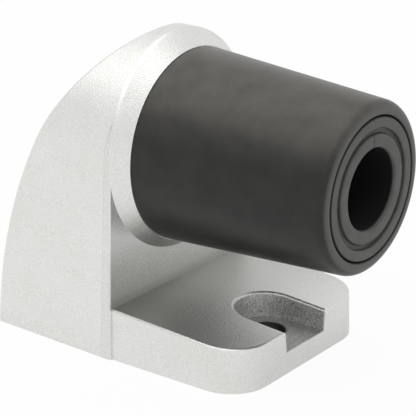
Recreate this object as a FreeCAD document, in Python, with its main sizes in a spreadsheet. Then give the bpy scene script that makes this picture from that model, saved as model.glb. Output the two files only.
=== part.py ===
import FreeCAD, Part
import math
import os
import Sketcher

from FreeCAD import Placement, Rotation, Vector

# A floor door stop: one die casting that is screwed to the floor through its foot, and a
# hollow rubber buffer that a screw in its bore clamps against the collar of the casting.
# The origin is the axis of the floor screw's hole, on the floor. The door comes from -Y.
# The casting is drawn in its wall frame, where y is 0 at the foot of the front wall. The
# buffer's pieces are drawn standing on the collar's face, with Z along the buffer's axis.

SIZES = {
    # The hood: the arched housing behind the buffer.
    "base_width": (50.8, "width of the hood on the floor"),
    "side_draft": (2.2, "draft of the hood's sides, degrees"),
    "top_height": (67.6, "height of the arch's ridge"),
    "heel_length": (32.9, "front wall to the heel, on the floor"),
    "ridge_length": (4.4, "ridge of the arch, from the front wall to the back"),
    "wall_lean": (1.5, "backward lean of the front wall, degrees"),
    "back_edge_width": (0.6, "bevel where the back meets the sides and the arch"),
    "wall_edge_radius": (0.3, "rounding of the front wall's side edges"),
    # The collar that the buffer seats on.
    "axis_height": (42.85, "height of the buffer's axis"),
    "collar_length": (2.3, "foot of the front wall to the collar's face"),
    "collar_face_diameter": (42.7, "collar at its face"),
    "collar_base_diameter": (46.4, "collar above the foot of the front wall"),
    "collar_edge_radius": (1.2, "soft edge where the collar runs over into the hood"),
    "spigot_diameter": (18.8, "spigot that centres the buffer"),
    "spigot_length": (4.8, "spigot ahead of the collar's face"),
    # The foot that is screwed to the floor.
    "foot_length": (33.1, "front wall to the foot's front edge, on the floor"),
    "foot_wall_width": (49.6, "foot at the front wall, on the floor"),
    "foot_front_width": (46.8, "foot at its front edge, on the floor"),
    "foot_wall_height": (11.5, "foot's top at the front wall"),
    "foot_front_height": (9.7, "foot's top at its front edge"),
    "foot_draft": (1.8, "draft of the foot's sides, degrees"),
    "foot_corner_radius": (9.2, "rounding of the foot's front corners"),
    "foot_edge_radius": (0.6, "rounding along the foot's and the recess's top edges"),
    # The recess for the floor screw's head.
    "screw_from_wall": (23.1, "foot of the front wall to the floor screw's axis"),
    "screw_hole_diameter": (7.5, "clearance hole of the floor screw"),
    "recess_width": (14.1, "recess at its floor"),
    "recess_floor": (4.85, "height of the recess floor"),
    "recess_draft": (4.2, "draft of the recess walls, degrees"),
    # The hollow underside.
    "hood_wall": (3.2, "wall that the core leaves in the hood"),
    "roof_thickness": (9.5, "ridge to the hollow's roof"),
    "foot_wall": (3.2, "wall that the core leaves in the foot"),
    "boss_width": (13.0, "boss that takes the buffer screw"),
    "boss_end": (15.0, "foot of the front wall to the boss's end"),
    # The rubber sleeve.
    "buffer_length": (45.25, "collar's face to the buffer's front"),
    "sleeve_rear_diameter": (42.4, "sleeve on the collar"),
    "sleeve_front_diameter": (36.4, "sleeve's cone carried on to the front face"),
    "sleeve_edge_radius": (2.0, "rounding of the sleeve's front edge"),
    "sleeve_bore": (30.5, "inside of the sleeve"),
    "flange_thickness": (5.0, "inward flange at the sleeve's rear"),
    "spigot_clearance": (0.15, "round the spigot, in the flange"),
    # The rubber core.
    "core_clearance": (0.2, "slit between core and sleeve"),
    "core_bore": (17.2, "bore of the core"),
    "core_web": (4.0, "web at the rear of the core"),
    "groove_inner_diameter": (22.8, "inner edge of the ring groove"),
    "groove_outer_diameter": (25.5, "outer edge of the ring groove"),
    "groove_depth": (1.2, "depth of the ring groove"),
    "lip_width": (0.4, "bevel of the bore's front edge"),
    "ring_edge_width": (0.25, "bevel of the other edges of the front rings"),
    # The buffer screw and its washer.
    "screw_diameter": (5.0, "shank of the buffer screw"),
    "screw_length": (20.0, "buffer screw under its head"),
    "head_diameter": (8.5, "head of the buffer screw"),
    "head_height": (5.0, "height of the head"),
    "head_edge_width": (0.5, "bevel of the head's top edge"),
    "socket_width": (4.0, "across the flats of the head's socket"),
    "socket_depth": (2.5, "depth of the socket"),
    "thread_clearance": (0.05, "round the shank, in the casting's hole"),
    "web_clearance": (0.25, "round the shank, in the core's web"),
    "tip_clearance": (2.0, "beyond the screw's tip, in the casting's hole"),
    "washer_diameter": (16.0, "outside of the washer"),
    "washer_thickness": (1.6, "thickness of the washer"),
    "washer_clearance": (0.15, "round the shank, in the washer"),
}

# Lengths that follow from the sizes above.
ARCH_RADIUS = (
    "((size.base_width / 2 - size.top_height * tan(size.side_draft))"
    " * cos(size.side_draft) / (1 - sin(size.side_draft)))"
)
ARCH_HEIGHT = f"(size.top_height - {ARCH_RADIUS})"
RIDGE_SETBACK = "(size.top_height * tan(size.wall_lean))"
# The side view ends a little above the ridge, before its front and its back cross.
ABOVE_RIDGE = "(size.top_height + size.ridge_length / 4)"
COLLAR_FACE = "(size.collar_face_diameter / 2)"
COLLAR_FLARE = f"((size.collar_base_diameter / 2 - {COLLAR_FACE}) / size.collar_length)"
# The back is an arc about a centre on the floor, through the heel and the ridge's rear end.
BACK_RUN = f"(size.heel_length - {RIDGE_SETBACK} - size.ridge_length)"
BACK_RADIUS = f"((size.top_height^2 + {BACK_RUN}^2) / (2 * {BACK_RUN}))"
BACK_CENTRE = f"(size.heel_length - {BACK_RADIUS})"
FOOT_SLOPE = "((size.foot_wall_height - size.foot_front_height) / size.foot_length)"
SPIGOT_REACH = "(size.collar_length + size.spigot_length)"
FLANGE_BORE = "(size.spigot_diameter / 2 + size.spigot_clearance)"
CORE_RADIUS = "(size.sleeve_bore / 2 - size.core_clearance)"
WASHER_SEAT = "(size.flange_thickness + size.core_web)"
HEAD_SEAT = f"({WASHER_SEAT} + size.washer_thickness)"
HEAD_TOP = f"({HEAD_SEAT} + size.head_height)"
SHANK_RADIUS = "(size.screw_diameter / 2)"
TIP = f"({HEAD_SEAT} - size.screw_length)"

# How far a cutting solid runs past the surface that it cuts, and the room for rounding errors.
MARGIN = 5.0
TINY = 1e-4

PLANES = {
    "XY": Rotation(),
    "XZ": Rotation(Vector(1, 0, 0), 90),
    "YZ": Rotation(Vector(1, 1, 1), 120),
}
TO_THE_DOOR = Rotation(Vector(1, 0, 0), 90)
TO_THE_BACK = Rotation(Vector(1, 0, 0), -90)


def size_sheet(doc):
    """The driving dimensions, one named cell each."""
    sheet = doc.addObject("Spreadsheet::Sheet", "size")
    for row, (alias, (value, note)) in enumerate(SIZES.items(), start=1):
        sheet.set(f"A{row}", note)
        sheet.set(f"B{row}", str(value))
        sheet.setAlias(f"B{row}", alias)
    doc.recompute()


def bind(thing, **formulas):
    """Ties properties of an object to formulas over the sheet."""
    for name, formula in formulas.items():
        thing.setExpression(name.replace("__", "."), formula)
    return thing


def number(thing, formula):
    """What a formula comes to."""
    return float(thing.evalExpression(formula))


def arc_between(start, end, radius, side):
    """The shorter arc from start to end, with its centre on the given side of the chord."""
    chord = end - start
    half = chord.Length / 2
    across = Vector(-chord.y, chord.x, 0).normalize() * side
    centre = (start + end) / 2 + across * math.sqrt(max(radius**2 - half**2, 0))
    first, last = (math.atan2(point.y - centre.y, point.x - centre.x) for point in (start, end))
    # A sketch's arc always runs anticlockwise.
    if side < 0:
        first, last = last, first
    if last < first:
        last += 2 * math.pi
    return Part.ArcOfCircle(Part.Circle(centre, Vector(0, 0, 1), radius), first, last)


def draw_outline(sketch, corners, arcs=None):
    """A closed outline. Corners are pairs of formulas. An arc leaves the corner that it is
    listed under, as its radius, the side of its centre, and whether it is tangent to the
    edge before it."""
    arcs = arcs or {}
    count = len(corners)
    points = [Vector(*(number(sketch, part) for part in pair)) for pair in corners]
    ends = []
    for i, start in enumerate(points):
        edge = Part.LineSegment(start, points[(i + 1) % count])
        ends.append((1, 2))
        if i in arcs:
            radius, side, tangent = arcs[i]
            value = number(sketch, radius)
            edge = arc_between(start, points[(i + 1) % count], value, side)
            ends[i] = (1, 2) if side > 0 else (2, 1)
        sketch.addGeometry(edge)
    for i in range(count):
        after = (i + 1) % count
        tangent = after in arcs and arcs[after][2]
        link = "Tangent" if tangent else "Coincident"
        sketch.addConstraint(Sketcher.Constraint(link, i, ends[i][1], after, ends[after][0]))
    for i, (point, pair) in enumerate(zip(points, corners)):
        for kind, value, formula in zip(("DistanceX", "DistanceY"), point, pair):
            rule = Sketcher.Constraint(kind, -1, 1, i, ends[i][0], value)
            row = sketch.addConstraint(rule)
            sketch.setExpression(f"Constraints[{row}]", formula)
    for i, (radius, side, tangent) in arcs.items():
        if not tangent:
            value = number(sketch, radius)
            row = sketch.addConstraint(Sketcher.Constraint("Radius", i, value))
            sketch.setExpression(f"Constraints[{row}]", radius)
    return sketch


def wall_sketch(doc, name, plane, corners, arcs=None):
    """An outline on one of the wall frame's planes."""
    sketch = doc.addObject("Sketcher::SketchObject", name)
    sketch.Placement = Placement(Vector(), PLANES[plane])
    return draw_outline(sketch, corners, arcs)


def prism(doc, name, sketch, length, both_ways=False):
    """A solid swept square to its sketch."""
    solid = doc.addObject("Part::Extrusion", name)
    solid.Base = sketch
    solid.DirMode = "Normal"
    solid.Solid = True
    solid.Symmetric = both_ways
    return bind(solid, LengthFwd=length)


def bar(doc, name, radius, length, turn, start="0", height="0"):
    """A round bar on the buffer's or the floor screw's axis, from a place in y and z."""
    solid = doc.addObject("Part::Cylinder", name)
    solid.Placement = Placement(Vector(), turn)
    bind(solid, Radius=radius, Height=length)
    return bind(solid, Placement__Base__y=start, Placement__Base__z=height)


def fused(doc, name, *parts):
    """One solid from several that meet."""
    solid = doc.addObject("Part::MultiFuse", name)
    solid.Shapes = list(parts)
    return solid


def shared(doc, name, *parts):
    """The space that all the parts fill."""
    solid = doc.addObject("Part::MultiCommon", name)
    solid.Shapes = list(parts)
    return solid


def cut(doc, name, base, tool):
    """What is left of the base."""
    solid = doc.addObject("Part::Cut", name)
    solid.Base = base
    solid.Tool = tool
    return solid


def spots(edge):
    """Five points along an edge."""
    first, last = edge.ParameterRange
    return [edge.valueAt(first + (last - first) * i / 4) for i in range(5)]


def names_of(kind, items, wanted):
    """The names of those faces or edges that the test wants."""
    names = [f"{kind}{i}" for i, item in enumerate(items, start=1) if wanted(item)]
    if not names:
        raise ValueError(f"no {kind} passes the test {wanted.__name__}")
    return names


def edged(doc, kind, name, base, width, wanted):
    """The base with the wanted edges rounded or bevelled."""
    doc.recompute()
    value = number(base, width)
    edges = names_of("Edge", base.Shape.Edges, wanted)
    solid = doc.addObject(f"Part::{kind}", name)
    solid.Base = base
    solid.Edges = [(int(edge.removeprefix("Edge")), value, value) for edge in edges]
    return solid


def plane_of(body, role):
    """One of a piece's own planes."""
    return next(item for item in body.Origin.OriginFeatures if item.Role == role)


def body_sketch(body, name, role, corners, arcs=None):
    """An outline on one of the piece's own planes."""
    sketch = body.newObject("Sketcher::SketchObject", name)
    sketch.AttachmentSupport = [(plane_of(body, role), "")]
    sketch.MapMode = "FlatFace"
    return draw_outline(sketch, corners, arcs)


def padded(body, name, role, corners, length):
    """The piece's first block."""
    pad = body.newObject("PartDesign::Pad", name)
    pad.Profile = body_sketch(body, f"{name}_outline", role, corners)
    bind(pad, Length=length)
    body.Document.recompute()


def pocketed(body, name, sketch, both_ways=False, upwards=False):
    """A pocket right through the piece, from its sketch."""
    whole = body.Tip.Shape.Volume
    pocket = body.newObject("PartDesign::Pocket", name)
    pocket.Profile = sketch
    pocket.Type = "ThroughAll"
    pocket.Midplane = both_ways
    pocket.Reversed = upwards
    body.Document.recompute()
    if pocket.Shape.Volume > whole - TINY:
        raise ValueError(f"{name} cuts nothing")


def drafted(body, name, angle, wanted, neutral):
    """Leans the wanted faces in from a neutral plane."""
    base = body.Tip
    draft = body.newObject("PartDesign::Draft", name)
    draft.Base = (base, names_of("Face", base.Shape.Faces, wanted))
    draft.NeutralPlane = neutral
    bind(draft, Angle=angle)
    body.Document.recompute()


def eased(body, kind, name, wanted, **width):
    """Rounds or bevels the wanted edges of a piece."""
    base = body.Tip
    feature = body.newObject(f"PartDesign::{kind}", name)
    feature.Base = (base, names_of("Edge", base.Shape.Edges, wanted))
    bind(feature, **width)
    body.Document.recompute()


def turned(body, kind, name, corners):
    """A solid or a groove turned about the buffer's axis. Corners are radius and height."""
    sketch = body_sketch(body, f"{name}_section", "XZ_Plane", corners)
    feature = body.newObject(f"PartDesign::{kind}", name)
    feature.Profile = sketch
    feature.ReferenceAxis = (sketch, ["V_Axis"])
    feature.Angle = 360
    body.Document.recompute()


def rims(body, *rings):
    """A test for the round edges that lie at the given radii and heights."""
    wanted = [[number(body, part) for part in ring] for ring in rings]

    def on_ring(edge):
        spot = edge.valueAt(edge.ParameterRange[0])
        here = (math.hypot(spot.x, spot.y), spot.z)
        turned_edge = isinstance(edge.Curve, Part.Circle)
        return turned_edge and any(math.dist(here, ring) < TINY for ring in wanted)

    if len(names_of("Edge", body.Tip.Shape.Edges, on_ring)) != len(rings):
        raise ValueError(f"{body.Label} misses a round edge")
    return on_ring


def arch_outline(doc, name, inset):
    """The front outline: drafted sides that run over into a half-round arch, set in all round."""
    foot = f"(size.base_width / 2 - {inset} / cos(size.side_draft))"
    radius = f"({ARCH_RADIUS} - {inset})"
    spring_x = f"({radius} * cos(size.side_draft))"
    spring_z = f"({ARCH_HEIGHT} + {radius} * sin(size.side_draft))"
    corners = [
        (f"-{foot}", "0"),
        (foot, "0"),
        (spring_x, spring_z),
        (f"-{spring_x}", spring_z),
    ]
    sketch = wall_sketch(doc, f"{name}_outline", "XZ", corners, {2: (radius, 1, True)})
    return prism(doc, name, sketch, f"2 * size.heel_length + {2 * MARGIN}", both_ways=True)


def side_profile(doc, name, inset, heights, front=None):
    """The side view between two heights, from the leaning front wall to the round back and
    set in from both. It starts further ahead where a front is given."""
    back = f"({BACK_RADIUS} - {inset})"
    wall = f"{inset} / cos(size.wall_lean)"
    low, high = heights
    corners = [
        (front or f"{wall} + {low} * tan(size.wall_lean)", low),
        (f"{BACK_CENTRE} + sqrt({back}^2 - {low}^2)", low),
        (f"{BACK_CENTRE} + sqrt({back}^2 - {high}^2)", high),
        (front or f"{wall} + {high} * tan(size.wall_lean)", high),
    ]
    sketch = wall_sketch(doc, f"{name}_outline", "YZ", corners, {1: (back, 1, False)})
    return prism(doc, name, sketch, f"size.base_width + {2 * MARGIN}", both_ways=True)


def collared_arch(doc):
    """The arch and the collar ahead of it. The collar's cone runs on through the arch, so that
    one soft edge leads from the collar into the hood's sides and top."""
    cone = doc.addObject("Part::Cone", "collar_cone")
    cone.Placement = Placement(Vector(), TO_THE_BACK)
    reach = f"(size.collar_length + size.heel_length + {MARGIN})"
    bind(cone, Radius1=COLLAR_FACE, Radius2=f"{COLLAR_FACE} + {COLLAR_FLARE} * {reach}")
    bind(cone, Height=reach, Placement__Base__y="-size.collar_length")
    bind(cone, Placement__Base__z="size.axis_height")
    below_collar = "(size.axis_height - size.collar_base_diameter / 2 - size.collar_length)"
    heights = (below_collar, ABOVE_RIDGE)
    profile = side_profile(doc, "arch_side", "0", heights, f"-(size.collar_length + {MARGIN})")
    block = shared(doc, "collared_arch", arch_outline(doc, "hood_arch", "0"), profile, cone)
    doc.recompute()
    half_width = number(block, "size.base_width / 2")
    draft = number(block, "tan(size.side_draft)")
    arch_height = number(block, ARCH_HEIGHT)
    arch_radius = number(block, ARCH_RADIUS)
    axis_height = number(block, "size.axis_height")
    face_radius = number(block, COLLAR_FACE)
    length = number(block, "size.collar_length")
    flare = number(block, COLLAR_FLARE)

    def on_arch(spot):
        on_side = abs(half_width - spot.z * draft - abs(spot.x)) < TINY
        return on_side or abs(math.hypot(spot.x, spot.z - arch_height) - arch_radius) < TINY

    def on_cone(spot):
        radius = face_radius + flare * (length + spot.y)
        return abs(math.hypot(spot.x, spot.z - axis_height) - radius) < TINY

    def soft_edge(edge):
        return all(on_arch(spot) and on_cone(spot) for spot in spots(edge))

    return edged(doc, "Fillet", "collar_edges", block, "size.collar_edge_radius", soft_edge)


def walled_block(doc):
    """The hood up to the buffer's axis, with its front wall. The wall's side edges are crisper
    than the collar's edge."""
    profile = side_profile(doc, "block_side", "0", ("0", "size.axis_height"))
    block = shared(doc, "walled_block", arch_outline(doc, "block_arch", "0"), profile)
    doc.recompute()
    lean = number(block, "tan(size.wall_lean)")

    def side_edge(edge):
        upright = edge.BoundBox.ZLength > TINY
        return upright and all(abs(spot.y - spot.z * lean) < TINY for spot in spots(edge))

    return edged(doc, "Fillet", "wall_edges", block, "size.wall_edge_radius", side_edge)


def hood(doc):
    """The arched housing with the collar on its front wall, and its back edges bevelled."""
    block = fused(doc, "hood_block", collared_arch(doc), walled_block(doc))
    block.Refine = True
    doc.recompute()
    centre = number(block, BACK_CENTRE)
    radius = number(block, BACK_RADIUS)

    def on_back(edge):
        off = [abs(math.hypot(spot.y - centre, spot.z) - radius) for spot in spots(edge)]
        return max(off) < TINY and edge.BoundBox.ZLength > TINY

    return edged(doc, "Chamfer", "hood_back_edges", block, "size.back_edge_width", on_back)


def spigot(doc):
    """The round spigot on the collar's face, rooted in the hood's wall."""
    return bar(
        doc,
        "spigot",
        "size.spigot_diameter / 2",
        f"{SPIGOT_REACH} + size.hood_wall",
        TO_THE_BACK,
        start=f"-{SPIGOT_REACH}",
        height="size.axis_height",
    )


def slot_outline(half):
    """A slot about the floor screw's axis that is open to the front, and its round end."""
    ahead = f"-size.foot_length - {MARGIN}"
    corners = [
        (f"-{half}", ahead),
        (half, ahead),
        (half, "-size.screw_from_wall"),
        (f"-{half}", "-size.screw_from_wall"),
    ]
    return corners, {2: (half, 1, True)}


def foot(doc):
    """The sloping foot with rounded corners, and the open recess for the floor screw's head."""
    body = doc.addObject("PartDesign::Body", "foot")
    front_half = "size.foot_front_width / 2"
    wall_half = "size.foot_wall_width / 2"
    behind = "size.hood_wall / 2"
    corners = [
        (f"-{front_half}", "-size.foot_length"),
        (front_half, "-size.foot_length"),
        (wall_half, "0"),
        (wall_half, behind),
        (f"-{wall_half}", behind),
        (f"-{wall_half}", "0"),
    ]
    padded(body, "foot_block", "XY_Plane", corners, f"size.foot_wall_height + {MARGIN}")
    front = number(body, "-size.foot_length")
    height = number(body, "size.foot_wall_height")
    slope = number(body, FOOT_SLOPE)
    floor = number(body, "size.recess_floor")

    def outside_wall(face):
        normal = face.normalAt(0, 0)
        return abs(normal.z) < TINY and normal.y < TINY

    def front_corner(edge):
        points = spots(edge)
        upright = abs(points[-1].z - points[0].z) > height
        return upright and min(point.y for point in points) < front + TINY

    def recess_wall(face):
        return abs(face.BoundBox.ZMin - floor) < TINY and face.BoundBox.ZLength > TINY

    def recess_bottom(face):
        return abs(face.BoundBox.ZMin - floor) < TINY and face.BoundBox.ZLength < TINY

    def top_edge(edge):
        points = spots(edge)
        inside = min(point.y for point in points) > TINY
        return not inside and all(abs(spot.z - height - spot.y * slope) < TINY for spot in points)

    ground = (plane_of(body, "XY_Plane"), [""])
    drafted(body, "foot_draft", "size.foot_draft", outside_wall, ground)
    eased(body, "Fillet", "foot_corners", front_corner, Radius="size.foot_corner_radius")
    ahead = f"(-size.foot_length - {MARGIN})"
    above = [
        (ahead, f"size.foot_wall_height + {ahead} * {FOOT_SLOPE}"),
        (behind, f"size.foot_wall_height + {behind} * {FOOT_SLOPE}"),
        (behind, f"size.foot_wall_height + {2 * MARGIN}"),
        (ahead, f"size.foot_wall_height + {2 * MARGIN}"),
    ]
    slope_sketch = body_sketch(body, "foot_slope_outline", "YZ_Plane", above)
    pocketed(body, "foot_slope", slope_sketch, both_ways=True)
    recess = body_sketch(body, "recess_outline", "XY_Plane", *slot_outline("size.recess_width / 2"))
    bind(recess, AttachmentOffset__Base__z="size.recess_floor")
    pocketed(body, "recess", recess, upwards=True)
    bottom = (body.Tip, names_of("Face", body.Tip.Shape.Faces, recess_bottom))
    drafted(body, "recess_draft", "size.recess_draft", recess_wall, bottom)
    eased(body, "Fillet", "foot_top_edges", top_edge, Radius="size.foot_edge_radius")
    return body


def hood_core(doc):
    """The hollow of the hood. The boss for the buffer screw runs up into the roof, so that
    the core that forms the hollow can be drawn out downwards."""
    sides = arch_outline(doc, "hollow_arch", "size.hood_wall")
    roof = "(size.top_height - size.roof_thickness)"
    profile = side_profile(doc, "hollow_side", "size.hood_wall", ("0", roof))
    space = shared(doc, "hollow", sides, profile)
    half = "size.boss_width / 2"
    corners = [
        (f"-{half}", "size.axis_height"),
        (half, "size.axis_height"),
        (half, "size.top_height"),
        (f"-{half}", "size.top_height"),
    ]
    web_outline = wall_sketch(doc, "boss_web_outline", "XZ", corners)
    web = prism(doc, "boss_web", web_outline, "size.boss_end * 2", both_ways=True)
    round_edge = bar(doc, "boss_round", half, "size.boss_end", TO_THE_BACK, height="size.axis_height")
    return cut(doc, "hood_core", space, fused(doc, "boss", web, round_edge))


def foot_core(doc):
    """The hollow of the foot, which runs round the screw's recess at one wall's distance."""
    wall_half = "(size.foot_wall_width / 2 - size.foot_wall)"
    front_half = "(size.foot_front_width / 2 - size.foot_wall)"
    front = "-(size.foot_length - size.foot_wall)"
    corners = [(f"-{front_half}", front), (front_half, front), (wall_half, "0"), (f"-{wall_half}", "0")]
    depth = "size.foot_front_height - size.foot_wall"
    outline = wall_sketch(doc, "foot_core_outline", "XY", corners)
    block = prism(doc, "foot_core_block", outline, depth)
    doc.recompute()

    def front_corner(edge):
        box = edge.BoundBox
        return box.ZLength > TINY and box.YMax < number(block, front) + TINY

    corner_radius = "size.foot_corner_radius - size.foot_wall"
    soft = edged(doc, "Fillet", "foot_core_corners", block, corner_radius, front_corner)
    around = slot_outline("(size.recess_width / 2 + size.foot_wall)")
    island_outline = wall_sketch(doc, "recess_island_outline", "XY", *around)
    island = prism(doc, "recess_island", island_outline, depth)
    return cut(doc, "foot_core", soft, island)


def base_casting(doc):
    """The whole casting: hood, collar and foot in one, cored out from below."""
    outside = fused(doc, "outside", hood(doc), spigot(doc), foot(doc))
    floor_hole = bar(
        doc,
        "floor_screw_hole",
        "size.screw_hole_diameter / 2",
        "size.foot_wall_height",
        Rotation(),
        start="-size.screw_from_wall",
    )
    thread_hole = bar(
        doc,
        "buffer_screw_hole",
        f"{SHANK_RADIUS} + size.thread_clearance",
        f"size.spigot_length - {TIP} + size.tip_clearance",
        TO_THE_BACK,
        start=f"-{SPIGOT_REACH}",
        height="size.axis_height",
    )
    inside = fused(doc, "inside", hood_core(doc), foot_core(doc), floor_hole, thread_hole)
    casting = cut(doc, "base_casting", outside, inside)
    return bind(casting, Placement__Base__y="size.screw_from_wall")


def buffer_body(doc, name):
    """An empty piece that stands on the collar's face and runs towards the door."""
    body = doc.addObject("PartDesign::Body", name)
    body.Placement = Placement(Vector(), TO_THE_DOOR)
    bind(body, Placement__Base__y="size.screw_from_wall - size.collar_length")
    return bind(body, Placement__Base__z="size.axis_height")


def buffer_sleeve(doc):
    """The tapered outer rubber, with an inward flange that the core clamps to the collar."""
    body = buffer_body(doc, "buffer_sleeve")
    bore = "size.sleeve_bore / 2"
    rear = "size.sleeve_rear_diameter / 2"
    front = "size.sleeve_front_diameter / 2"
    taper = f"(({rear} - {front}) / size.buffer_length)"
    # The front edge's rounding is drawn as two bevels, between three points of its arc.
    edge = "size.sleeve_edge_radius"
    half_way = f"{edge} * (1 - cos(45))"
    corners = [
        (FLANGE_BORE, "0"),
        (rear, "0"),
        (f"{front} + {taper} * {edge}", f"size.buffer_length - {edge}"),
        (f"{front} - {half_way}", f"size.buffer_length - {half_way}"),
        (f"{front} - {edge}", "size.buffer_length"),
        (bore, "size.buffer_length"),
        (bore, "size.flange_thickness"),
        (FLANGE_BORE, "size.flange_thickness"),
    ]
    turned(body, "Revolution", "sleeve_form", corners)
    bore_edge = rims(body, (bore, "size.buffer_length"))
    eased(body, "Chamfer", "sleeve_bore_edge", bore_edge, Size="size.ring_edge_width")
    return body


def buffer_core(doc):
    """The rubber cup inside the sleeve, with a ring groove in its front face."""
    body = buffer_body(doc, "buffer_core")
    hole = f"({SHANK_RADIUS} + size.web_clearance)"
    bore = "size.core_bore / 2"
    front = "size.buffer_length"
    corners = [
        (hole, "size.flange_thickness"),
        (CORE_RADIUS, "size.flange_thickness"),
        (CORE_RADIUS, front),
        (bore, front),
        (bore, WASHER_SEAT),
        (hole, WASHER_SEAT),
    ]
    turned(body, "Revolution", "core_form", corners)
    inner = "size.groove_inner_diameter / 2"
    outer = "size.groove_outer_diameter / 2"
    floor = f"{front} - size.groove_depth"
    ahead = f"{front} + {MARGIN}"
    cutter = [(inner, floor), (outer, floor), (outer, ahead), (inner, ahead)]
    turned(body, "Groove", "ring_groove", cutter)
    lip = rims(body, (bore, front))
    eased(body, "Chamfer", "core_bore_lip", lip, Size="size.lip_width")
    ring_edges = rims(body, (CORE_RADIUS, front), (outer, front), (inner, front))
    eased(body, "Chamfer", "core_ring_edges", ring_edges, Size="size.ring_edge_width")
    return body


def buffer_washer(doc):
    """The flat washer that spreads the screw's load over the core's web."""
    body = buffer_body(doc, "buffer_washer")
    hole = f"({SHANK_RADIUS} + size.washer_clearance)"
    rim = "size.washer_diameter / 2"
    turned(
        body, "Revolution", "washer_form",
        [(hole, WASHER_SEAT), (rim, WASHER_SEAT), (rim, HEAD_SEAT), (hole, HEAD_SEAT)],
    )
    return body


def buffer_screw(doc):
    """The socket screw through washer, web and spigot. Its thread is left plain."""
    body = buffer_body(doc, "buffer_screw")
    head = "size.head_diameter / 2"
    corners = [
        ("0", TIP),
        (SHANK_RADIUS, TIP),
        (SHANK_RADIUS, HEAD_SEAT),
        (head, HEAD_SEAT),
        (head, HEAD_TOP),
        ("0", HEAD_TOP),
    ]
    turned(body, "Revolution", "screw_form", corners)
    head_edge = rims(body, (head, HEAD_TOP))
    eased(body, "Chamfer", "head_bevel", head_edge, Size="size.head_edge_width")
    corner = "(size.socket_width / 2 / cos(30))"
    hexagon = [(f"{corner} * cos({60 * i})", f"{corner} * sin({60 * i})") for i in range(6)]
    sketch = body_sketch(body, "socket_outline", "XY_Plane", hexagon)
    bind(sketch, AttachmentOffset__Base__z=HEAD_TOP)
    socket = body.newObject("PartDesign::Pocket", "socket")
    socket.Profile = sketch
    bind(socket, Length="size.socket_depth")
    return body


def check(doc, pieces):
    """Stops on any object that failed and on any piece that is not one sound solid."""
    failed = [item.Name for item in doc.Objects if {"Invalid", "Error"} & set(item.State)]
    if failed:
        raise ValueError(f"failed: {failed}")
    for piece in pieces:
        shape = piece.Shape
        if shape.isNull() or not shape.isValid() or len(shape.Solids) != 1:
            raise ValueError(f"{piece.Label} is not one sound solid")


def main():
    doc = FreeCAD.newDocument("door_stop")
    size_sheet(doc)
    makers = (base_casting, buffer_sleeve, buffer_core, buffer_washer, buffer_screw)
    pieces = [maker(doc) for maker in makers]
    doc.recompute()
    check(doc, pieces)
    os.makedirs("parts", exist_ok=True)
    for piece in pieces:
        piece.Shape.exportStep(f"parts/{piece.Label}.step")
        print(f"{piece.Label}: {piece.Shape.Volume:.0f} mm3")


main()
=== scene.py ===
import math

import bpy
from mathutils import Matrix, Vector


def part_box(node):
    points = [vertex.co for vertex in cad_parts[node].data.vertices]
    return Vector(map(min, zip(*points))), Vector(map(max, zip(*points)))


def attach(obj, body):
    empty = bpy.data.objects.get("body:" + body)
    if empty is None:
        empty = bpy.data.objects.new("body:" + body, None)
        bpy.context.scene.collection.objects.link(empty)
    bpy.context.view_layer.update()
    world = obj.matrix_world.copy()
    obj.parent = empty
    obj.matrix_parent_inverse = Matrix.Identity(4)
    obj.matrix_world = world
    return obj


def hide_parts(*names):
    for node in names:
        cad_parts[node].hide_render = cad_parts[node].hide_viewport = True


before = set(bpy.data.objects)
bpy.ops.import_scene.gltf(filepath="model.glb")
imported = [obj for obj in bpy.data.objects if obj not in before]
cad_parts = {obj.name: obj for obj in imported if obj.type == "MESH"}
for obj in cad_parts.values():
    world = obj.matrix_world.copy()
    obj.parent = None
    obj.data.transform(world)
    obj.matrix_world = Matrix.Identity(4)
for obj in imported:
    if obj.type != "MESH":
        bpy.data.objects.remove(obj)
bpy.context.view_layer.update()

# The casting is one piece of aluminium: hood, collar and foot, cored out from below and
# blasted to a fine satin silver. The halves of its die met in a line on the hood's sides,
# and the recess for the floor screw keeps more of the coarse skin of the casting. Shade is
# painted into the recess, along the parting line and under the buffer.
SATIN_SILVER = (0.90, 0.90, 0.89, 1)
SHADED_SILVER = (0.86, 0.86, 0.84, 1)
# The silver of the painted shade under the buffer.
PAINTED_SHADE_SILVER = (0.56, 0.56, 0.54, 1)
GRAIN_SILVER = (0.50, 0.50, 0.48, 1)
# Skin tones of the recess, speckled, and darker than the satin partly as painted shade.
CAST_SKIN = (0.74, 0.74, 0.72, 1)
PITTED_SKIN = (0.34, 0.34, 0.33, 1)
HOLE_SHADE = (0.10, 0.10, 0.10, 1)
SATIN_TONES = ((0.32, SHADED_SILVER), (0.66, SATIN_SILVER))
SKIN_AND_SHADE_TONES = ((0.38, PITTED_SKIN), (0.56, CAST_SKIN))
SILVER_METALLIC = 0.90
SILVER_ROUGH = 0.24
GRAIN_ROUGH = 0.09
WAVES_ROUGH = 0.06
SKIN_ROUGH = 0.14

# How softly one finish goes over into the next, from a hair's line to a broad edge.
HAIR = 0.0001
CRISP = 0.0002
SOFT = 0.0003
BROAD = 0.0004


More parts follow.
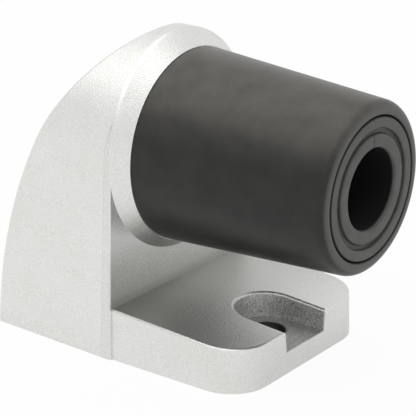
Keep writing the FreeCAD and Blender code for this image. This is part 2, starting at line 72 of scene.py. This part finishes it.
class Wire:
    """A socket of a node tree. Arithmetic on wires adds Math nodes to the tree."""

    def __init__(self, tree, socket=None):
        self.tree = tree
        self.socket = socket

    def node(self, kind, sockets, out=0, stops=(), **settings):
        """Adds a node: its settings and stops first, then its sockets' values or wires."""
        made = self.tree.nodes.new(kind)
        for name, value in settings.items():
            setattr(made, name, value)
        for i, (position, colour) in enumerate(stops):
            stop = made.color_ramp.elements[i]
            stop.position = position
            stop.color = colour
        for name, value in sockets.items():
            if isinstance(value, Wire):
                self.tree.links.new(value.socket, made.inputs[name])
            else:
                made.inputs[name].default_value = value
        return Wire(self.tree, made.outputs[out])

    def math(self, operation, first, second=0.0):
        return self.node("ShaderNodeMath", {0: first, 1: second}, operation=operation)

    def clamped(self):
        return self.node("ShaderNodeClamp", {"Value": self})

    def __abs__(self):
        return self.math("ABSOLUTE", self)

    def __add__(self, other):
        return self.math("ADD", self, other)

    def __radd__(self, other):
        return self.math("ADD", other, self)

    def __sub__(self, other):
        return self.math("SUBTRACT", self, other)

    def __rsub__(self, other):
        return self.math("SUBTRACT", other, self)

    def __mul__(self, other):
        return self.math("MULTIPLY", self, other)

    def __rmul__(self, other):
        return self.math("MULTIPLY", other, self)

    def __pow__(self, other):
        return self.math("POWER", self, other)


def finish_of(name):
    """A material with the place on its piece and its shader."""
    material = bpy.data.materials.new(name)
    material.use_nodes = True
    tree = material.node_tree
    shader = next(node for node in tree.nodes if node.type == "BSDF_PRINCIPLED")
    place = Wire(tree).node("ShaderNodeTexCoord", {}, out="Object")
    return material, place, shader


def across_along_up(place):
    """The three coordinates of a place."""
    return [place.node("ShaderNodeSeparateXYZ", {"Vector": place}, out=axis) for axis in "XYZ"]


def noise(place, size, detail=3.0, seed=0.0):
    """Cloudy noise whose features are about as large as size."""
    sockets = {"Vector": place, "W": seed, "Scale": 1 / size, "Detail": detail}
    return place.node("ShaderNodeTexNoise", sockets, out="Fac", noise_dimensions="4D")


def distance(first, second):
    """How far a place is off an axis, from its two distances across it."""
    return (first * first + second * second) ** 0.5


def past(value, edge, width):
    """Goes softly from 0 to 1 where the value passes the edge."""
    sockets = {"Value": value, "From Min": edge - width / 2, "From Max": edge + width / 2}
    return value.node("ShaderNodeMapRange", sockets, interpolation_type="SMOOTHSTEP")


def line_at(value, width):
    """A soft line where the value is 0."""
    return (1 - abs(value) * (1 / width)).clamped()


def blended(share, first, second):
    """One colour going over into another."""
    return share.node("ShaderNodeMix", {0: share, 6: first, 7: second}, out=2, data_type="RGBA")


def toned(value, tones):
    """The value's tone. The tones are the ramp's stops, each a position and a colour."""
    return value.node("ShaderNodeValToRGB", {"Fac": value}, stops=tones)


def bumped(relief):
    """The surface normal over a relief in metres."""
    sockets = {"Height": relief, "Distance": 1.0, "Strength": 1.0}
    return relief.node("ShaderNodeBump", sockets, out="Normal")


def give(shader, **wires):
    """Links wires to the shader's sockets."""
    for name, wire in wires.items():
        wire.tree.links.new(wire.socket, shader.inputs[name.replace("_", " ")])


silver, place, shader = finish_of("blasted_silver")
shader.inputs["Metallic"].default_value = SILVER_METALLIC
across, along, up = across_along_up(place)

BLAST_GRAIN = 0.00030
CAST_WAVES = 0.007
SKIN_GRAIN = 0.00030
grain = noise(place, BLAST_GRAIN)
waves = noise(place, CAST_WAVES, seed=4.0)
skin = noise(place, SKIN_GRAIN, seed=9.0)

# The hood's sides lean in up to the arch's centre. The parting line runs up them behind
# the front wall, turns forward under the arch, and leaves a fine step in front of it. The
# line and the step are grooved in the relief, and painted darker as shade.
HOOD_HALF = 0.0254
HOOD_DRAFT = 0.0384
ARCH_CENTRE = 0.0439
SIDE_SKIN = 0.0005
WALL_FOOT = 0.0231
WALL_LEAN = 0.0262
WALL_EDGE = 0.0003
PARTING_LOW = 0.0258
PARTING_HIGH = 0.0247
PARTING_TURN = 0.0495
PARTING_TURN_LENGTH = 0.007
PARTING_WIDTH = 0.00022
PARTING_DEPTH = 0.00006
PARTING_FAINT = 0.35
PARTING_SHADE = 0.55
STEP_SHADE = 0.12
above_arch = up.math("MAXIMUM", up - ARCH_CENTRE)
half_there = HOOD_HALF - HOOD_DRAFT * (up - above_arch)
under_side = half_there - distance(across, above_arch)
off_wall = along - WALL_FOOT - WALL_LEAN * up
on_side = (1 - past(under_side, SIDE_SKIN, SOFT)) * past(off_wall, WALL_EDGE, SOFT)
turned_in = past(up, PARTING_TURN, PARTING_TURN_LENGTH)
off_line = along - PARTING_LOW + (PARTING_LOW - PARTING_HIGH) * turned_in
parting = line_at(off_line, PARTING_WIDTH) * on_side
parting = parting * (PARTING_FAINT + (1 - PARTING_FAINT) * turned_in)
step = (1 - past(off_line, 0.0, CRISP)) * on_side

# The recess lies open to the front of the sloping foot. The screw's hole in its floor and a
# ring round its edge are painted dark as shade.
FOOT_TOP = 0.01024
FOOT_SLOPE = 0.0544
FOOT_FRONT = -0.0100
FOOT_DRAFT = 0.0314
RECESS_HALF = 0.0084
RECESS_REAR = 0.0088
RIM_DEPTH = 0.0005
MOUTH_DEPTH = 0.0002
HOLE_EDGE = 0.0041
HOLE_FADE = 0.0005
below_top = FOOT_TOP + FOOT_SLOPE * along - up
behind_front = along - FOOT_FRONT - FOOT_DRAFT * up
in_recess = (
    past(below_top, RIM_DEPTH, BROAD)
    * (1 - past(abs(across), RECESS_HALF, CRISP))
    * (1 - past(along, RECESS_REAR, CRISP))
    * past(behind_front, MOUTH_DEPTH, HAIR)
)
# Painted shade: the hole and a ring round its edge.
painted_hole_shade = 1 - past(distance(across, along), HOLE_EDGE, HOLE_FADE)

# The corner of wall and foot under the buffer is painted darker as shade, the wall less so.
WALL_SHADE_SKIN = 0.00015
TOP_SHADE_SKIN = 0.0003
COLLAR_FOOT = 0.0235
COLLAR_FADE = 0.008
FOOT_MIDDLE = 0.002
FOOT_FADE = 0.034
WALL_SHADE_SHARE = 0.50
WALL_START = -0.0015
WALL_FADE = 0.002
# Painted shade where the buffer shades the wall and the foot's top.
painted_shade_under_buffer = (
    (1 - past(off_wall, WALL_SHADE_SKIN, CRISP))
    * (1 - past(below_top, TOP_SHADE_SKIN, BROAD))
    * (1 - past(up, COLLAR_FOOT, COLLAR_FADE))
    * past(along, FOOT_MIDDLE, FOOT_FADE)
    * (WALL_SHADE_SHARE + (1 - WALL_SHADE_SHARE) * past(below_top, WALL_START, WALL_FADE))
)

# The grain's dark side shows more, and is deeper, in the painted shade under the buffer.
GRAIN_DARK = 0.62
GRAIN_SHADE = 1.2
GRAIN_IN_PAINTED_SHADE = 1.8
BLAST_DEPTH = 0.00009
DEPTH_IN_PAINTED_SHADE = 0.3
SKIN_DEPTH = 0.00008
dark_grain = ((GRAIN_DARK - grain) * (GRAIN_SHADE + GRAIN_IN_PAINTED_SHADE * painted_shade_under_buffer)).clamped()
satin = toned(waves, SATIN_TONES)
satin = blended(painted_shade_under_buffer, satin, PAINTED_SHADE_SILVER)
satin = blended(dark_grain, satin, GRAIN_SILVER)
# Painted shade along the parting line and on the strip in front of its step.
satin = blended(step * STEP_SHADE + parting * PARTING_SHADE, satin, GRAIN_SILVER)
# The recess's coarse skin, painted darker than the satin as shade in the recess as well.
coarse = toned(skin, SKIN_AND_SHADE_TONES)
coarse = blended(painted_hole_shade, coarse, HOLE_SHADE)
rough = SILVER_ROUGH + GRAIN_ROUGH * grain + WAVES_ROUGH * waves
relief = (
    (BLAST_DEPTH * (1 + DEPTH_IN_PAINTED_SHADE * painted_shade_under_buffer)) * grain
    + (SKIN_DEPTH * in_recess) * skin
    - PARTING_DEPTH * parting
    - PARTING_DEPTH * step
)
give(
    shader,
    Base_Color=blended(in_recess, satin, coarse),
    Roughness=rough + SKIN_ROUGH * in_recess,
    Normal=bumped(relief),
)
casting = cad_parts["base_casting"]
casting.data.materials.clear()
casting.data.materials.append(silver)

# The sleeve is the outer rubber of the buffer, moulded as a tapering ring with an inward
# flange that the core clamps. Its upper side has a warm mottled bloom and is painted lighter
# as a highlight, its front edge is well rounded, its front face is greyed by doors, and the
# slit along its bore is painted near black as shade.
SLEEVE_REAR = 0.0212
SLEEVE_FRONT = 0.0182
SLEEVE_EDGE = 0.002
SLEEVE_BORE = 0.01525
FLANGE = 0.005
FLANGE_BORE = 0.00955
MOULDED_EDGE = 0.0003
TURNS = 192
EDGE_STEPS = 8
# The section is swept round a circle of this radius, which its own radii leave out again.
SWING = 0.001

sleeve_low, sleeve_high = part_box("buffer_sleeve")
buffer_axis = (sleeve_low.z + sleeve_high.z) / 2
buffer_front = sleeve_low.y
collar_face = sleeve_high.y
buffer_length = collar_face - buffer_front


def turning_tree(name):
    """Turns a section about the buffer's axis. The section's x is the radius and its y the
    distance from the seat. Each corner is rounded by its own attribute."""
    tree = bpy.data.node_groups.new(name, "GeometryNodeTree")
    inputs = {
        "Section": "NodeSocketGeometry",
        "Turns": "NodeSocketInt",
        "Edge steps": "NodeSocketInt",
        "Swing": "NodeSocketFloat",
        "Seat": "NodeSocketVector",
        "Finish": "NodeSocketMaterial",
    }
    for label, kind in inputs.items():
        tree.interface.new_socket(name=label, in_out="INPUT", socket_type=kind)
    tree.interface.new_socket(name="Turned", in_out="OUTPUT", socket_type="NodeSocketGeometry")
    start = tree.nodes.new("NodeGroupInput")
    given = {socket.name: Wire(tree, socket) for socket in start.outputs if socket.name}
    make = Wire(tree).node
    rounding = make(
        "GeometryNodeInputNamedAttribute",
        {"Name": "rounding"},
        out="Attribute",
        data_type="FLOAT",
    )
    outline = make("GeometryNodeMeshToCurve", {"Mesh": given["Section"]})
    filleted = make(
        "GeometryNodeFilletCurve",
        {
            "Curve": outline,
            "Radius": rounding,
            "Count": given["Edge steps"],
            "Limit Radius": True,
        },
        mode="POLY",
    )
    circle = make(
        "GeometryNodeCurvePrimitiveCircle",
        {"Resolution": given["Turns"], "Radius": given["Swing"]},
    )
    swept = make("GeometryNodeCurveToMesh", {"Curve": circle, "Profile Curve": filleted})
    smooth = make("GeometryNodeSetShadeSmooth", {"Geometry": swept})
    placed = make(
        "GeometryNodeTransform",
        {"Geometry": smooth, "Translation": given["Seat"], "Rotation": (-math.pi / 2, 0, 0)},
    )
    real = make("GeometryNodeRealizeInstances", {"Geometry": placed})
    painted = make("GeometryNodeSetMaterial", {"Geometry": real, "Material": given["Finish"]})
    end = tree.nodes.new("NodeGroupOutput")
    tree.links.new(painted.socket, end.inputs[0])
    return tree


def turned_piece(name, tree, corners, finish):
    """A plain mesh turned from a closed section. A corner is radius, distance and rounding."""
    mesh = bpy.data.meshes.new(f"{name}_section")
    points = [(radius - SWING, behind, 0) for radius, behind, rounding in corners]
    edges = [(i, (i + 1) % len(points)) for i in range(len(points))]
    mesh.from_pydata(points, edges, [])
    mesh.attributes.new("rounding", "FLOAT", "POINT")
    roundings = [rounding for radius, behind, rounding in corners]
    mesh.attributes["rounding"].data.foreach_set("value", roundings)
    piece = bpy.data.objects.new(name, mesh)
    bpy.context.scene.collection.objects.link(piece)
    modifier = piece.modifiers.new("turning", "NODES")
    modifier.node_group = tree
    sockets = {item.name: item.identifier for item in tree.interface.items_tree}
    modifier[sockets["Turns"]] = TURNS
    modifier[sockets["Edge steps"]] = EDGE_STEPS
    modifier[sockets["Swing"]] = SWING
    modifier[sockets["Seat"]] = (0.0, collar_face, buffer_axis)
    modifier[sockets["Finish"]] = finish
    made = piece.evaluated_get(bpy.context.evaluated_depsgraph_get())
    plain = bpy.data.meshes.new_from_object(made)
    piece.modifiers.remove(modifier)
    piece.data = plain
    plain.name = name
    return piece


def round_the_axis(place):
    """Where a place lies across the buffer, above its axis, off its axis and behind its front."""
    across, along, up = across_along_up(place)
    above = up - buffer_axis
    return across, above, distance(across, above), along - buffer_front


SLEEVE_BLACK = (0.0105, 0.0103, 0.0097, 1)
SLEEVE_BLOOM = (0.019, 0.0185, 0.0170, 1)
# Warm grey for the sleeve's top, partly bloom and partly painted highlight.
SLEEVE_DUST_AND_SHEEN = (0.094, 0.090, 0.076, 1)
SCUFFED = (0.078, 0.077, 0.073, 1)
# Near black, for the painted shade in the slits, the bore and the channel.
SHADE_BLACK = (0.002, 0.002, 0.002, 1)
SLEEVE_TONES = ((0.38, SLEEVE_BLACK), (0.62, SLEEVE_BLOOM))
SLEEVE_SHEEN = 0.38
SLEEVE_ROUGH = 0.26
BLOOM_ROUGH = 0.10
RUBBER_SKIN_ROUGH = 0.06
RUBBER_GRAIN = 0.0004
RUBBER_DEPTH = 0.00002
BLOOM_SIZE = 0.005
BLOOM_SHARE = 0.7
DUST_AND_SHEEN_HEIGHT = 0.012
DUST_AND_SHEEN_FADE = 0.014
DUST_AND_SHEEN_LEAST = 0.1
DUST_AND_SHEEN_IN_BLOOM = 0.95
DUST_AND_SHEEN_IN_SKIN = 0.35
WORN_DEPTH = 0.0002
WORN_LEAST = 0.6

sleeve_rubber, place, shader = finish_of("sleeve_rubber")
shader.inputs["Specular IOR Level"].default_value = SLEEVE_SHEEN
_, above, radius, depth = round_the_axis(place)
rubber_skin = noise(place, RUBBER_GRAIN, seed=1.0)
bloom = noise(place, BLOOM_SIZE, detail=4.0, seed=3.0)
worn = (1 - past(depth, WORN_DEPTH, SOFT)) * (WORN_LEAST + (1 - WORN_LEAST) * bloom)
# Painted shade: the slit along the sleeve's bore is near black.
at_slit = 1 - past(radius, SLEEVE_BORE + MOULDED_EDGE, CRISP)
# Bloom and painted highlight: the upper side is lighter, mottled by the bloom.
dust_and_sheen = DUST_AND_SHEEN_LEAST + DUST_AND_SHEEN_IN_BLOOM * bloom + DUST_AND_SHEEN_IN_SKIN * rubber_skin
dust_and_sheen = past(above, DUST_AND_SHEEN_HEIGHT, DUST_AND_SHEEN_FADE) * dust_and_sheen
bloomed = toned(BLOOM_SHARE * bloom + (1 - BLOOM_SHARE) * rubber_skin, SLEEVE_TONES)
bloomed = blended(dust_and_sheen, bloomed, SLEEVE_DUST_AND_SHEEN)
bloomed = blended(worn, bloomed, SCUFFED)
give(
    shader,
    Base_Color=blended(at_slit, bloomed, SHADE_BLACK),
    Roughness=SLEEVE_ROUGH + BLOOM_ROUGH * bloom + RUBBER_SKIN_ROUGH * rubber_skin,
    Normal=bumped(RUBBER_DEPTH * rubber_skin),
)
turning = turning_tree("turned_rubber")
sleeve = turned_piece(
    "rubber_sleeve",
    turning,
    [
        (FLANGE_BORE, 0.0, MOULDED_EDGE),
        (SLEEVE_REAR, 0.0, MOULDED_EDGE),
        (SLEEVE_FRONT, buffer_length, SLEEVE_EDGE),
        (SLEEVE_BORE, buffer_length, MOULDED_EDGE),
        (SLEEVE_BORE, FLANGE, 0.0),
        (FLANGE_BORE, FLANGE, MOULDED_EDGE),
    ],
    sleeve_rubber,
)
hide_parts("buffer_sleeve")
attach(sleeve, "root")

# The core is a rubber cup that fills the sleeve and clamps its flange. Its front has a soft
# ring channel round the bore, and a short raised mark where the halves of its mould met.
# Its slit, its bore, the channel and the mark are painted darker toward black as shade.
CORE_RADIUS = 0.01505
CORE_BORE = 0.0086
CORE_LIP = 0.0006
CORE_WEB = 0.009
SCREW_HOLE = 0.00275
CHANNEL_INNER = 0.0114
CHANNEL_OUTER = 0.01275
CHANNEL_DEPTH = 0.0008
CHANNEL_EDGE = 0.0003
CHANNEL_SLOPE = 0.0002
CHANNEL_SHADE = 0.3
MARK_WIDTH = 0.00025
MARK_START = 0.001
MARK_HEIGHT = 0.0001
MARK_SHADE = 0.9
MARK_LOST = 0.7
CORE_GREY = (0.064, 0.064, 0.061, 1)
CORE_BLOOM = (0.092, 0.092, 0.088, 1)
CORE_TONES = ((0.38, CORE_GREY), (0.60, CORE_BLOOM))
CORE_BLOOM_SIZE = 0.003
CORE_BLOOM_SHARE = 0.6
CORE_SHEEN = 0.36
CORE_ROUGH = 0.38
BORE_ROUGH = 0.45

core_rubber, place, shader = finish_of("core_rubber")
shader.inputs["Specular IOR Level"].default_value = CORE_SHEEN
across, above, radius, depth = round_the_axis(place)
rubber_skin = noise(place, RUBBER_GRAIN, seed=5.0)
bloom = noise(place, CORE_BLOOM_SIZE, detail=4.0, seed=7.0)
at_slit = past(radius, CORE_RADIUS - MOULDED_EDGE, CRISP)
in_bore = past(depth, CORE_LIP, CORE_LIP) * (1 - past(radius, CORE_BORE + CORE_LIP, SOFT))
in_channel = past(depth, CHANNEL_EDGE, BROAD) * past(radius, CHANNEL_INNER - CRISP, CRISP)
mark = line_at(across, MARK_WIDTH) * past(above, 0.0, MARK_START)
mark = mark * (1 - MARK_LOST * past(radius, CHANNEL_INNER, BROAD))
# Painted shade: the slit, the bore, the channel and the mould mark go toward black.
rubber_shade = (at_slit + in_bore + CHANNEL_SHADE * in_channel + MARK_SHADE * mark).clamped()
greyed = toned(CORE_BLOOM_SHARE * bloom + (1 - CORE_BLOOM_SHARE) * rubber_skin, CORE_TONES)
rough = CORE_ROUGH + BLOOM_ROUGH * bloom + RUBBER_SKIN_ROUGH * rubber_skin
give(
    shader,
    Base_Color=blended(rubber_shade, greyed, SHADE_BLACK),
    Roughness=rough + BORE_ROUGH * in_bore,
    Normal=bumped(RUBBER_DEPTH * rubber_skin + MARK_HEIGHT * mark),
)
core = turned_piece(
    "rubber_core",
    turning,
    [
        (SCREW_HOLE, FLANGE, 0.0),
        (CORE_RADIUS, FLANGE, 0.0),
        (CORE_RADIUS, buffer_length, MOULDED_EDGE),
        (CHANNEL_OUTER, buffer_length, CHANNEL_EDGE),
        (CHANNEL_OUTER - CHANNEL_SLOPE, buffer_length - CHANNEL_DEPTH, CHANNEL_EDGE),
        (CHANNEL_INNER + CHANNEL_SLOPE, buffer_length - CHANNEL_DEPTH, CHANNEL_EDGE),
        (CHANNEL_INNER, buffer_length, CHANNEL_EDGE),
        (CORE_BORE, buffer_length, CORE_LIP),
        (CORE_BORE, CORE_WEB, 0.0),
        (SCREW_HOLE, CORE_WEB, 0.0),
    ],
    core_rubber,
)
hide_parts("buffer_core")
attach(core, "root")

# The washer and the socket screw sit deep in the bore and clamp the core's web. They are
# plated steel: the washer is turned in fine rings, and the screw's head is knurled.
PLATED_STEEL = (0.55, 0.55, 0.54, 1)
TARNISHED_STEEL = (0.40, 0.40, 0.39, 1)
STEEL_TONES = ((0.35, TARNISHED_STEEL), (0.60, PLATED_STEEL))
STEEL_ROUGH = 0.24
TARNISH_ROUGH = 0.16
TARNISH_SIZE = 0.0012
TURNING_PITCH = 0.0003
TURNING_DEPTH = 0.000006
HEAD_RADIUS = 0.00425
KNURLS = 44
KNURL_DEPTH = 0.0001


def plated_steel(name, relief_of):
    """Plated steel with a light tarnish over the relief that relief_of draws."""
    steel, place, shader = finish_of(name)
    shader.inputs["Metallic"].default_value = 1.0
    tarnish = noise(place, TARNISH_SIZE, seed=3.0)
    give(
        shader,
        Base_Color=toned(tarnish, STEEL_TONES),
        Roughness=STEEL_ROUGH + TARNISH_ROUGH * tarnish,
        Normal=bumped(relief_of(*round_the_axis(place))),
    )
    return steel


def turned_rings(across, above, radius, depth):
    """The fine rings that the tool left round the washer's axis."""
    return TURNING_DEPTH * radius.math("SINE", radius * (2 * math.pi / TURNING_PITCH))


def knurled(across, above, radius, depth):
    """The knurls along the rim of the screw's head."""
    wave = radius.math("SINE", radius.math("ARCTAN2", above, across) * KNURLS)
    return KNURL_DEPTH * wave * past(radius, HEAD_RADIUS - CRISP, HAIR)


for node, steel in (
    ("buffer_washer", plated_steel("washer_steel", turned_rings)),
    ("buffer_screw", plated_steel("screw_steel", knurled)),
):
    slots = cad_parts[node].data.materials
    slots.clear()
    slots.append(steel)

# The stop stands on a plain pale floor under an even white sky, with a wide soft lamp
# overhead, a little to its left. The camera sees floor and sky nearly white, and metal
# and glass see them pale.
FLOOR_HALF = 1.5
FLOOR_PALE = (0.92, 0.92, 0.92, 1)
FLOOR_WHITE = 0.94
FLOOR_SHINE = 0.41
SKY_LEVEL = 0.66
SKY_WHITE = 1.0
SKY_SHINE = 0.55
LAMP_PLACE = (-0.18, 0.06, 1.00)
LAMP_AIM = (0, 0.015, 0.035)
LAMP_WIDTH = 1.35
LAMP_POWER = 4.6
LAMP_WHITE = (1.0, 0.985, 0.95)
WHITE = (1, 1, 1, 1)

floor_mesh = bpy.data.meshes.new("floor")
floor_corners = [
    (x * FLOOR_HALF, y * FLOOR_HALF, 0) for x, y in ((-1, -1), (1, -1), (1, 1), (-1, 1))
]
floor_mesh.from_pydata(floor_corners, [], [(0, 1, 2, 3)])
floor = bpy.data.objects.new("floor", floor_mesh)
bpy.context.scene.collection.objects.link(floor)


def bare_tree(owner):
    """The owner's node tree, emptied, with a node maker."""
    owner.use_nodes = True
    owner.node_tree.nodes.clear()
    return owner.node_tree, Wire(owner.node_tree).node


def whiteness(make, straight, in_metal):
    """How much plain white the camera sees there, straight and in metal or glass."""
    camera, glossy, clear = [
        make("ShaderNodeLightPath", {}, out=f"Is {kind} Ray")
        for kind in ("Camera", "Glossy", "Transmission")
    ]
    return camera * straight + (glossy + clear) * in_metal


floor_paint = bpy.data.materials.new("floor_paint")
tree, make = bare_tree(floor_paint)
matt = make("ShaderNodeBsdfDiffuse", {"Color": FLOOR_PALE})
white = make("ShaderNodeEmission", {"Color": WHITE, "Strength": 1.0})
whitened = whiteness(make, FLOOR_WHITE, FLOOR_SHINE)
mixed = make("ShaderNodeMixShader", {0: whitened, 1: matt, 2: white})
tree.links.new(mixed.socket, tree.nodes.new("ShaderNodeOutputMaterial").inputs["Surface"])
floor_mesh.materials.append(floor_paint)

studio = bpy.data.worlds.new("studio")
bpy.context.scene.world = studio
tree, make = bare_tree(studio)
level = SKY_LEVEL + (1 - SKY_LEVEL) * whiteness(make, SKY_WHITE, SKY_SHINE)
sky = make("ShaderNodeBackground", {"Color": WHITE, "Strength": level})
tree.links.new(sky.socket, tree.nodes.new("ShaderNodeOutputWorld").inputs["Surface"])

key = bpy.data.lights.new("key_lamp", "AREA")
key.size = LAMP_WIDTH
key.energy = LAMP_POWER
key.color = LAMP_WHITE
key_lamp = bpy.data.objects.new("key_lamp", key)
key_lamp.location = LAMP_PLACE
aim = Vector(LAMP_AIM) - Vector(LAMP_PLACE)
key_lamp.rotation_euler = aim.to_track_quat("-Z", "Y").to_euler()
bpy.context.scene.collection.objects.link(key_lamp)

# The camera looks at the left front corner from a little above, as in the photograph.
CAMERA_PLACE = (-0.276282, -0.191197, 0.161341)
CAMERA_TURN = -53.046
CAMERA_HEIGHT = 20.953
CAMERA_ROLL = 0.842
FOCAL_PIXELS = 1708.34
PHOTO_PIXELS = 416
SENSOR = 36.0
turn = math.radians(CAMERA_TURN)
rise = math.radians(CAMERA_HEIGHT)
roll = math.radians(CAMERA_ROLL)
level_back = Vector((math.sin(turn), -math.cos(turn), 0))
back = level_back * math.cos(rise) + Vector((0, 0, math.sin(rise)))
level_right = (-back).cross(Vector((0, 0, 1))).normalized()
level_up = level_right.cross(-back)
right = level_right * math.cos(roll) + level_up * math.sin(roll)
top = level_up * math.cos(roll) - level_right * math.sin(roll)
view = bpy.data.cameras.new("camera")
view.sensor_width = SENSOR
view.lens = FOCAL_PIXELS / PHOTO_PIXELS * SENSOR
camera = bpy.data.objects.new("camera", view)
turned_view = Matrix((right, top, back)).transposed().to_4x4()
camera.matrix_world = Matrix.Translation(CAMERA_PLACE) @ turned_view
bpy.context.scene.collection.objects.link(camera)
bpy.context.scene.camera = camera
bpy.context.scene.view_settings.view_transform = "Standard"
